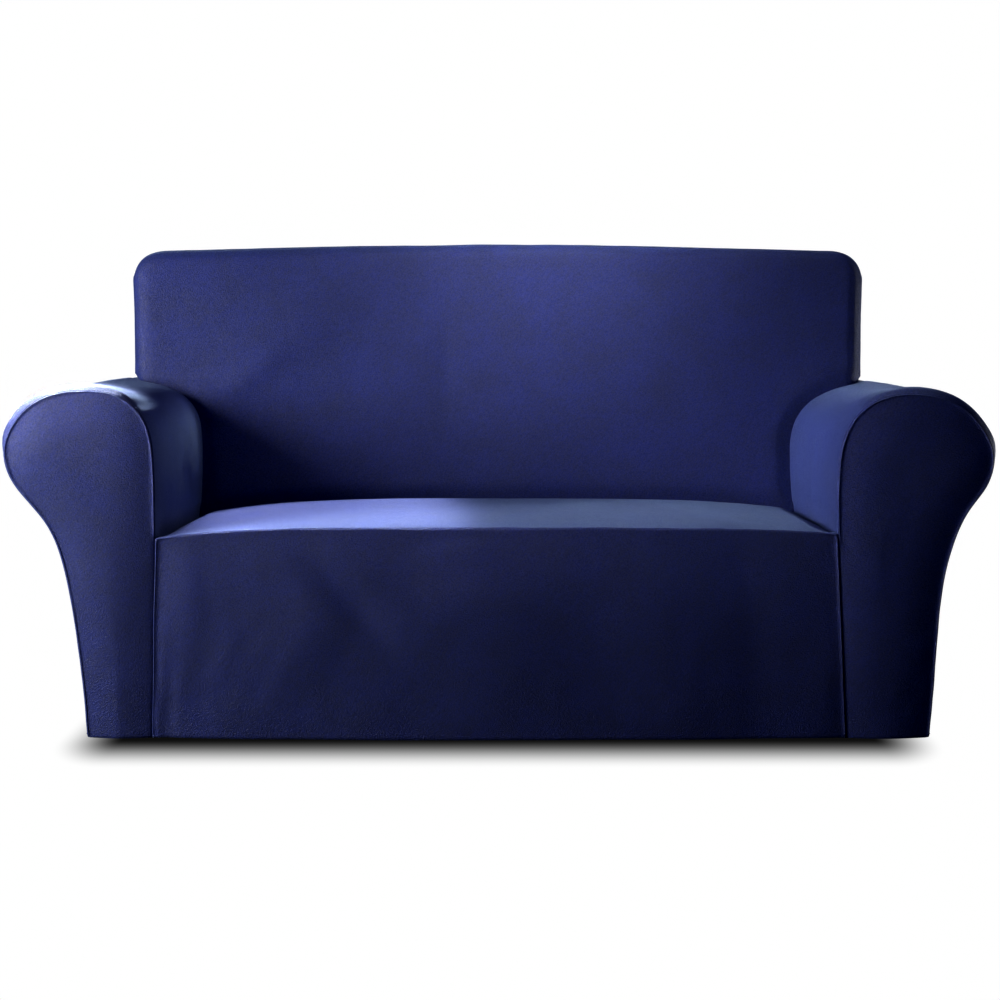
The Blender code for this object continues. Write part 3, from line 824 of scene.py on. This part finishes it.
def nap_group():
    """Soft patches and faint slanting streaks, where the nap lies one way or the other."""
    if "nap" in bpy.data.node_groups:
        return bpy.data.node_groups["nap"]
    tree = bpy.data.node_groups.new("nap", "ShaderNodeTree")
    tree.interface.new_socket("Place", in_out="INPUT", socket_type="NodeSocketVector")
    tree.interface.new_socket("Patch size", in_out="INPUT", socket_type="NodeSocketFloat")
    tree.interface.new_socket("Fleck size", in_out="INPUT", socket_type="NodeSocketFloat")
    tree.interface.new_socket("Nap", in_out="OUTPUT", socket_type="NodeSocketFloat")
    inside = add_node(tree, "NodeGroupInput", (-900, 0))
    patches = add_node(tree, "ShaderNodeTexNoise", (-500, 200), {"Detail": 3.0, "Roughness": 0.55})
    flecks = add_node(tree, "ShaderNodeTexNoise", (-500, -50), {"Detail": 2.0})
    slant = {"Rotation": (0.0, math.radians(-50), 0.0), "Scale": (0.012, 0.004, 0.003)}
    turn = add_node(tree, "ShaderNodeMapping", (-700, -300), slant, vector_type="TEXTURE")
    streaks = add_node(tree, "ShaderNodeTexNoise", (-500, -300), {"Scale": 1.0, "Detail": 1.0})
    blend = add_node(tree, "ShaderNodeMix", (-250, 100), {"Factor": 0.60}, data_type="FLOAT")
    both = add_node(tree, "ShaderNodeMix", (-50, 0), {"Factor": 0.30}, data_type="FLOAT")
    spread = add_node(tree, "ShaderNodeMapRange", (150, 0), {"From Min": 0.42, "From Max": 0.58})
    outside = add_node(tree, "NodeGroupOutput", (350, 0))
    link = tree.links.new
    for texture in (patches, flecks):
        link(inside.outputs["Place"], texture.inputs["Vector"])
    link(inside.outputs["Patch size"], patches.inputs["Scale"])
    link(inside.outputs["Fleck size"], flecks.inputs["Scale"])
    link(inside.outputs["Place"], turn.inputs["Vector"])
    link(turn.outputs["Vector"], streaks.inputs["Vector"])
    link(patches.outputs["Fac"], blend.inputs["A"])
    link(flecks.outputs["Fac"], blend.inputs["B"])
    link(blend.outputs["Result"], both.inputs["A"])
    link(streaks.outputs["Fac"], both.inputs["B"])
    link(both.outputs["Result"], spread.inputs["Value"])
    link(spread.outputs["Result"], outside.inputs["Nap"])
    return tree


def pile_group():
    """The pebbly grain of short pile on knit ground."""
    if "pile" in bpy.data.node_groups:
        return bpy.data.node_groups["pile"]
    tree = bpy.data.node_groups.new("pile", "ShaderNodeTree")
    tree.interface.new_socket("Place", in_out="INPUT", socket_type="NodeSocketVector")
    tree.interface.new_socket("Height", in_out="OUTPUT", socket_type="NodeSocketFloat")
    inside = add_node(tree, "NodeGroupInput", (-600, 0))
    coarse = add_node(tree, "ShaderNodeTexNoise", (-350, 120), {"Scale": 400.0, "Detail": 2.0})
    fine = add_node(tree, "ShaderNodeTexNoise", (-350, -120), {"Scale": 900.0, "Detail": 1.0})
    blend = add_node(tree, "ShaderNodeMix", (-100, 0), {"Factor": 0.45}, data_type="FLOAT")
    outside = add_node(tree, "NodeGroupOutput", (120, 0))
    link = tree.links.new
    for texture in (coarse, fine):
        link(inside.outputs["Place"], texture.inputs["Vector"])
    link(coarse.outputs["Fac"], blend.inputs["A"])
    link(fine.outputs["Fac"], blend.inputs["B"])
    link(blend.outputs["Result"], outside.inputs["Height"])
    return tree


def velvet():
    """Short-pile stretch velvet: a dark blue ground under a pale bloom, mottled where the nap turns."""
    if VELVET in bpy.data.materials:
        return bpy.data.materials[VELVET]
    values = settings().velvet
    material = bpy.data.materials.new(VELVET)
    material.use_nodes = True
    tree = material.node_tree
    shader = tree.nodes["Principled BSDF"]
    shader.inputs["Specular IOR Level"].default_value = values.gloss
    shader.inputs["Sheen Weight"].default_value = values.bloom_weight
    shader.inputs["Sheen Roughness"].default_value = values.bloom_roughness
    shader.inputs["Sheen Tint"].default_value = (*values.bloom, 1.0)
    place = add_node(tree, "ShaderNodeTexCoord", (-1000, 0))
    nap = add_node(tree, "ShaderNodeGroup", (-700, 150), node_tree=nap_group())
    nap.inputs["Patch size"].default_value = values.patches
    nap.inputs["Fleck size"].default_value = values.flecks
    pile = add_node(tree, "ShaderNodeGroup", (-700, -250), node_tree=pile_group())
    colour = add_node(tree, "ShaderNodeMix", (-400, 150), data_type="RGBA")
    colour.inputs[TINT_A].default_value = (*values.deep, 1.0)
    colour.inputs[TINT_B].default_value = (*values.raised, 1.0)
    tips = add_node(tree, "ShaderNodeMapRange", (-400, -50), {"From Min": 0.38, "From Max": 0.62})
    tips.inputs["To Min"].default_value = values.gloss_roughness + GLOSS_CHANGE
    tips.inputs["To Max"].default_value = values.gloss_roughness - GLOSS_CHANGE
    bump = add_node(tree, "ShaderNodeBump", (-400, -250), {"Strength": 1.0, "Distance": values.grain})
    link = tree.links.new
    link(place.outputs["Object"], nap.inputs["Place"])
    link(place.outputs["Object"], pile.inputs["Place"])
    link(nap.outputs["Nap"], colour.inputs["Factor"])
    link(colour.outputs[TINT], shader.inputs["Base Color"])
    link(pile.outputs["Height"], tips.inputs["Value"])
    link(tips.outputs["Result"], shader.inputs["Roughness"])
    link(pile.outputs["Height"], bump.inputs["Height"])
    link(bump.outputs["Normal"], shader.inputs["Normal"])
    return material


# The stage

def floor_with_painted_shadow():
    """A white floor with a painted shadow: dark under the cover and soft grey round its foot, fading with the
    distance from a rectangle round the foot. It throws no light back.
    """
    stage = settings().stage
    material = bpy.data.materials.new("studio_floor_white")
    material.use_nodes = True
    tree = material.node_tree
    tree.nodes.remove(tree.nodes["Principled BSDF"])
    # The painted shadow: the distance outside a rectangle round the cover's foot, scaled by how far it fades,
    # sets how bright the floor shows to the camera.
    place = add_node(tree, "ShaderNodeTexCoord", (-1400, 0))
    either = add_node(tree, "ShaderNodeVectorMath", (-1200, 0), operation="ABSOLUTE")
    half = {1: (*stage.painted_shadow_half, 0.0)}
    beyond = add_node(tree, "ShaderNodeVectorMath", (-1000, 0), half, operation="SUBTRACT")
    outside = add_node(tree, "ShaderNodeVectorMath", (-800, 0), {1: (0.0, 0.0, 0.0)}, operation="MAXIMUM")
    fade = {1: (*stage.painted_shadow_reach, 1.0)}
    share = add_node(tree, "ShaderNodeVectorMath", (-600, 0), fade, operation="DIVIDE")
    reach = add_node(tree, "ShaderNodeVectorMath", (-400, 0), operation="LENGTH")
    # Under the cover the painted shadow is at its darkest.
    darkest_painted_shadow = {"To Min": 0.02}
    shade = add_node(tree, "ShaderNodeMapRange", (-200, 0), darkest_painted_shadow, interpolation_type="SMOOTHSTEP")
    seen = add_node(tree, "ShaderNodeEmission", (0, 0), {"Color": WHITE})
    dark = add_node(tree, "ShaderNodeBsdfDiffuse", (0, 150), {"Color": (0.03, 0.03, 0.03, 1.0)})
    path = add_node(tree, "ShaderNodeLightPath", (0, 500))
    whole = add_node(tree, "ShaderNodeMixShader", (250, 50))
    link = tree.links.new
    link(place.outputs["Object"], either.inputs[0])
    link(either.outputs["Vector"], beyond.inputs[0])
    link(beyond.outputs["Vector"], outside.inputs[0])
    link(outside.outputs["Vector"], share.inputs[0])
    link(share.outputs["Vector"], reach.inputs[0])
    link(reach.outputs["Value"], shade.inputs["Value"])
    link(shade.outputs["Result"], seen.inputs["Strength"])
    link(path.outputs["Is Camera Ray"], whole.inputs["Fac"])
    link(dark.outputs["BSDF"], whole.inputs[1])
    link(seen.outputs["Emission"], whole.inputs[2])
    link(whole.outputs["Shader"], tree.nodes["Material Output"].inputs["Surface"])
    return material


def add_floor():
    """A wide floor, a little under the hem, which shows a painted shadow round the cover's foot."""
    floor = bmesh.new()
    bmesh.ops.create_grid(floor, x_segments=1, y_segments=1, size=20.0)
    bmesh.ops.translate(floor, verts=floor.verts, vec=(0.0, 0.0, -settings().stage.floor_drop))
    mesh = bpy.data.meshes.new("studio_floor")
    floor.to_mesh(mesh)
    floor.free()
    mesh.materials.append(floor_with_painted_shadow())
    piece = bpy.data.objects.new("studio_floor", mesh)
    bpy.context.scene.collection.objects.link(piece)
    piece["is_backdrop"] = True


def add_light(lamp):
    """One square lamp of the studio."""
    light = bpy.data.lights.new(lamp.name, "AREA")
    light.energy = lamp.power * settings().stage.light
    light.size = lamp.size
    light.spread = math.radians(lamp.spread)
    holder = bpy.data.objects.new(lamp.name, light)
    holder.location = lamp.place
    holder.rotation_euler = (Vector(lamp.target) - Vector(lamp.place)).to_track_quat("-Z", "Y").to_euler()
    bpy.context.scene.collection.objects.link(holder)


def add_camera():
    """The camera, level and straight in front of the cover."""
    stage = settings().stage
    lens = bpy.data.cameras.new("front_view")
    lens.lens = stage.lens
    lens.sensor_width = 36.0
    lens.shift_x, lens.shift_y = stage.shift
    camera = bpy.data.objects.new("front_view", lens)
    camera.location = (0.0, -stage.distance, stage.eye_height)
    camera.rotation_euler = (math.radians(90), 0.0, 0.0)
    bpy.context.scene.collection.objects.link(camera)
    bpy.context.scene.camera = camera


def light_room():
    """A white room for the camera, which gives the cover's shaded sides a faint blue light."""
    world = bpy.data.worlds.new("white_room")
    bpy.context.scene.world = world
    world.use_nodes = True
    tree = world.node_tree
    background = tree.nodes["Background"]
    background.inputs["Color"].default_value = (*settings().stage.room, 1.0)
    background.inputs["Strength"].default_value = settings().stage.room_light
    seen = add_node(tree, "ShaderNodeBackground", (0, -150), {"Color": WHITE, "Strength": 1.0})
    path = add_node(tree, "ShaderNodeLightPath", (-200, 200))
    mix = add_node(tree, "ShaderNodeMixShader", (250, 0))
    link = tree.links.new
    link(path.outputs["Is Camera Ray"], mix.inputs["Fac"])
    link(background.outputs["Background"], mix.inputs[1])
    link(seen.outputs["Background"], mix.inputs[2])
    link(mix.outputs["Shader"], tree.nodes["World Output"].inputs["Surface"])


def set_contrast(view):
    """Print the picture with the deep blacks and the contrast of the photograph."""
    stage = settings().stage
    view.view_transform = "Standard"
    view.gamma = stage.contrast
    view.use_curve_mapping = True
    view.curve_mapping.black_level = (stage.black, stage.black, stage.black)
    view.curve_mapping.update()


# Operators

class SLIPCOVER_OT_surface(Operator):
    """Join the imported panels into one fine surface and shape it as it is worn"""

    bl_idname = "slipcover.surface"
    bl_label = "Lay out the surface"

    def execute(self, context):
        fine = smoothed(whole_surface())
        add_seam_rows(fine)
        shaped(fine)
        set_behind(fine)
        mesh = bpy.data.meshes.new(SURFACE)
        fine.to_mesh(mesh)
        fine.free()
        mesh.use_fake_user = True
        return {"FINISHED"}


class SLIPCOVER_OT_seat(Operator):
    """Cut out the seat and the skirt under its front edge"""

    bl_idname = "slipcover.seat"
    bl_label = "Seat and skirt"

    def execute(self, context):
        for node in ("front_skirt", "seat_top"):
            cut_out(node)
        return {"FINISHED"}


class SLIPCOVER_OT_backrest(Operator):
    """Cut out the front of the backrest and the gussets that close its sides"""

    bl_idname = "slipcover.backrest"
    bl_label = "Backrest"

    def execute(self, context):
        for node in ("back_inner", "back_side_left", "back_side_right"):
            cut_out(node)
        return {"FINISHED"}


class SLIPCOVER_OT_outside_back(Operator):
    """Cut out the plain outside back"""

    bl_idname = "slipcover.outside_back"
    bl_label = "Outside back"

    def execute(self, context):
        cut_out("back_outer")
        return {"FINISHED"}


class SLIPCOVER_OT_arm_sleeves(Operator):
    """Cut out the sleeves that run over the arms"""

    bl_idname = "slipcover.arm_sleeves"
    bl_label = "Arm sleeves"

    def execute(self, context):
        for node in ("arm_sleeve_left", "arm_sleeve_right"):
            cut_out(node)
        return {"FINISHED"}


class SLIPCOVER_OT_arm_fronts(Operator):
    """Cut out the puffed fronts of the arms"""

    bl_idname = "slipcover.arm_fronts"
    bl_label = "Arm fronts"

    def execute(self, context):
        for node in ("arm_front_left", "arm_front_right"):
            cut_out(node)
        return {"FINISHED"}


class SLIPCOVER_OT_stage(Operator):
    """Set up the white floor with its painted shadow, the soft light and the camera"""

    bl_idname = "slipcover.stage"
    bl_label = "Stage"

    def execute(self, context):
        add_floor()
        for lamp in LAMPS:
            add_light(lamp)
        add_camera()
        light_room()
        set_contrast(context.scene.view_settings)
        return {"FINISHED"}


class SLIPCOVER_PT_sidebar(Panel):
    """The slipcover's sizes and its steps"""

    bl_idname = "SLIPCOVER_PT_sidebar"
    bl_label = "Velvet slipcover"
    bl_space_type = "VIEW_3D"
    bl_region_type = "UI"
    bl_category = "Slipcover"

    def draw(self, context):
        layout = self.layout
        for name in ("cloth", "seam", "shape", "velvet", "stage"):
            values = getattr(context.scene.slipcover, name)
            box = layout.box()
            box.label(text=name.capitalize())
            for key in values.__annotations__:
                box.prop(values, key)
        for step in STEPS:
            layout.operator(step.bl_idname)


STEPS = (
    SLIPCOVER_OT_surface,
    SLIPCOVER_OT_seat,
    SLIPCOVER_OT_backrest,
    SLIPCOVER_OT_outside_back,
    SLIPCOVER_OT_arm_sleeves,
    SLIPCOVER_OT_arm_fronts,
    SLIPCOVER_OT_stage,
)
GROUPS = (ClothSettings, SeamSettings, ShapeSettings, VelvetSettings, StageSettings, SlipcoverSettings)


def register():
    for item in (*GROUPS, *STEPS, SLIPCOVER_PT_sidebar):
        bpy.utils.register_class(item)
    bpy.types.Scene.slipcover = PointerProperty(type=SlipcoverSettings)


def unregister():
    del bpy.types.Scene.slipcover
    for item in reversed((*GROUPS, *STEPS, SLIPCOVER_PT_sidebar)):
        bpy.utils.unregister_class(item)


def main():
    register()
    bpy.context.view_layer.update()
    bpy.ops.slipcover.surface()
    bpy.ops.slipcover.seat()
    bpy.ops.slipcover.backrest()
    bpy.ops.slipcover.outside_back()
    bpy.ops.slipcover.arm_sleeves()
    bpy.ops.slipcover.arm_fronts()
    bpy.ops.slipcover.stage()


if __name__ == "__main__":
    main()
